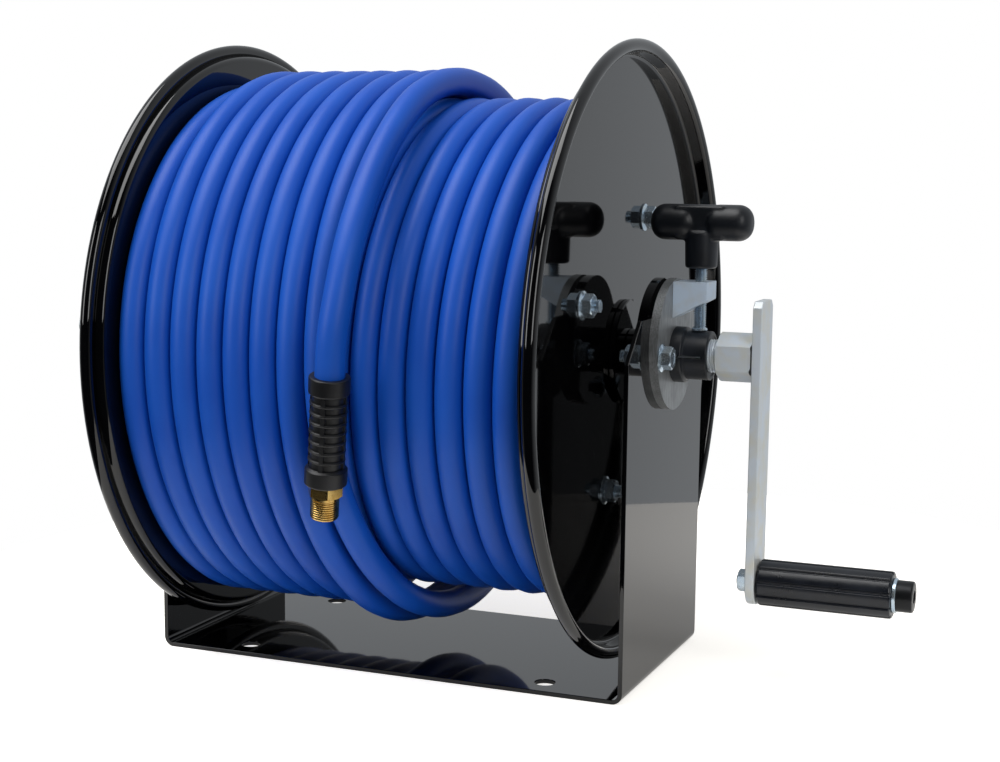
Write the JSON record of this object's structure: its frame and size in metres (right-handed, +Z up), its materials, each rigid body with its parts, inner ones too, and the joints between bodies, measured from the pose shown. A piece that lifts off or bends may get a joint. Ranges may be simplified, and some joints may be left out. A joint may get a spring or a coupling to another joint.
{
  "type": "hose reel",
  "caption": "Hand-cranked industrial hose reel: black U frame, wired-edge drum flanges, split-hub drag brake, zinc crank, swivel inlet, and blue rubber hose wound on the drum.",
  "frame": {"origin": "middle of the base's underside, between the four foot holes", "axes": "+X along the drum's axis towards the crank, -Y the front, +Z up"},
  "size_m": [0.6134, 0.4081, 0.4125],
  "materials": {
    "black_enamel": "gloss black enamel",
    "gray_steel": "brushed raw steel",
    "zinc_steel": "bright zinc plating",
    "black_oxide": "satin black oxide",
    "black_nylon": "moulded satin",
    "blue_rubber": "smooth satin",
    "black_rubber": "moulded satin",
    "brass": "machined"
  },
  "bodies": {
    "frame": {"u_frame": "black_enamel", "drag_plate": "gray_steel", "bearing_plate_right": "black_enamel", "bearing_plate_left": "black_enamel", "split_hub": "black_nylon", "bush_left": "black_nylon", "wedge_bracket": "gray_steel", "plate_bolts": "zinc_steel", "plate_nuts": "zinc_steel"},
    "drag_pad": {"drag_pad": "zinc_steel"},
    "drag_screw": {"drag_screw": "zinc_steel", "t_handle": "black_nylon"},
    "drum": {"flange_right": "black_enamel", "flange_left": "black_enamel", "barrel": "black_enamel", "shaft": "zinc_steel", "hub_disc_right": "black_enamel", "hub_disc_left": "black_enamel", "spacer_right": "black_enamel", "spacer_left": "black_enamel", "set_collar": "zinc_steel", "tie_rods": "zinc_steel", "tie_nuts": "zinc_steel", "riser_elbow": "zinc_steel", "hose_inner_fitting": "brass", "hose_lead": "blue_rubber", "hose_core": "blue_rubber", "hose_lower_turns": "blue_rubber", "hose_upper_turns": "blue_rubber", "hose_end_sleeve": "black_rubber", "hose_end_ferrule": "brass", "hose_end_fitting": "brass", "crank_coupling": "zinc_steel", "crank_arm": "zinc_steel", "handle_screw": "black_oxide", "handle_nut": "zinc_steel", "handle_washer": "zinc_steel"},
    "handle_grip": {"handle_grip": "black_nylon"},
    "swivel": {"swivel_body": "zinc_steel", "swivel_seal": "black_rubber", "swivel_ring": "zinc_steel"}
  },
  "joints": [
    {"name": "drum_spin", "type": "hinge", "parent": "frame", "child": "drum", "pos_m": [0, 0, 0.2125], "axis": [1, 0, 0], "continuous": true},
    {"name": "grip_spin", "type": "hinge", "parent": "drum", "child": "handle_grip", "pos_m": [0.2746, 0, 0.0675], "axis": [1, 0, 0], "continuous": true},
    {"name": "swivel_turn", "type": "hinge", "parent": "frame", "child": "swivel", "pos_m": [-0.215, 0, 0.2125], "axis": [1, 0, 0], "continuous": true},
    {"name": "drag_slide", "type": "slide", "parent": "frame", "child": "drag_pad", "axis": [0, 0, -1], "range_m": [-0.00375, 0]},
    {"name": "drag_turn", "type": "hinge", "parent": "drag_pad", "child": "drag_screw", "pos_m": [0.187, 0, 0.25], "axis": [0, 0, -1], "range_deg": [-1080, 0]}
  ],
  "couplings": [
    {"joint": "drag_slide", "follows": "drag_turn", "m_per_rad": 0.00019894}
  ]
}
